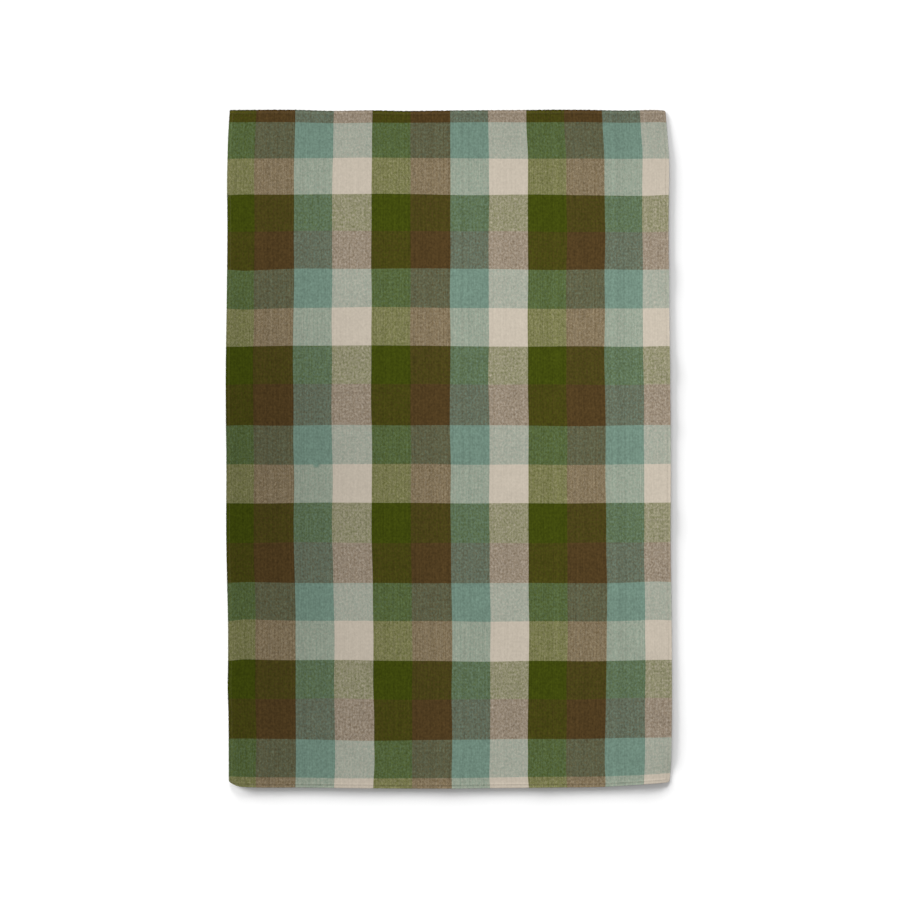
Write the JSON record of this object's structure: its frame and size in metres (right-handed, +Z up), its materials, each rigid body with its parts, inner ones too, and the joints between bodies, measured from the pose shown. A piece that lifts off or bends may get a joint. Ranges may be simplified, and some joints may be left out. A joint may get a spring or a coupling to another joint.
{
  "type": "tablecloth",
  "caption": "Rectangular woven cotton tablecloth in a large block check, with a narrow stitched hem all round, lying flat with its edges slightly raised.",
  "frame": {"origin": "middle of the underside, on the surface that the cloth lies on", "axes": "+X across the cloth to its right, +Y along it to its top end, +Z up off the surface"},
  "size_m": [1.512, 2.3003, 0.0155],
  "materials": {
    "checked_cotton": "matt plain-woven cotton, green, brown, blue-green and ecru yarns in warp and weft",
    "hem_thread": "matt spun sewing thread"
  },
  "bodies": {
    "root": {"tablecloth": "checked_cotton"}
  },
  "joints": []
}
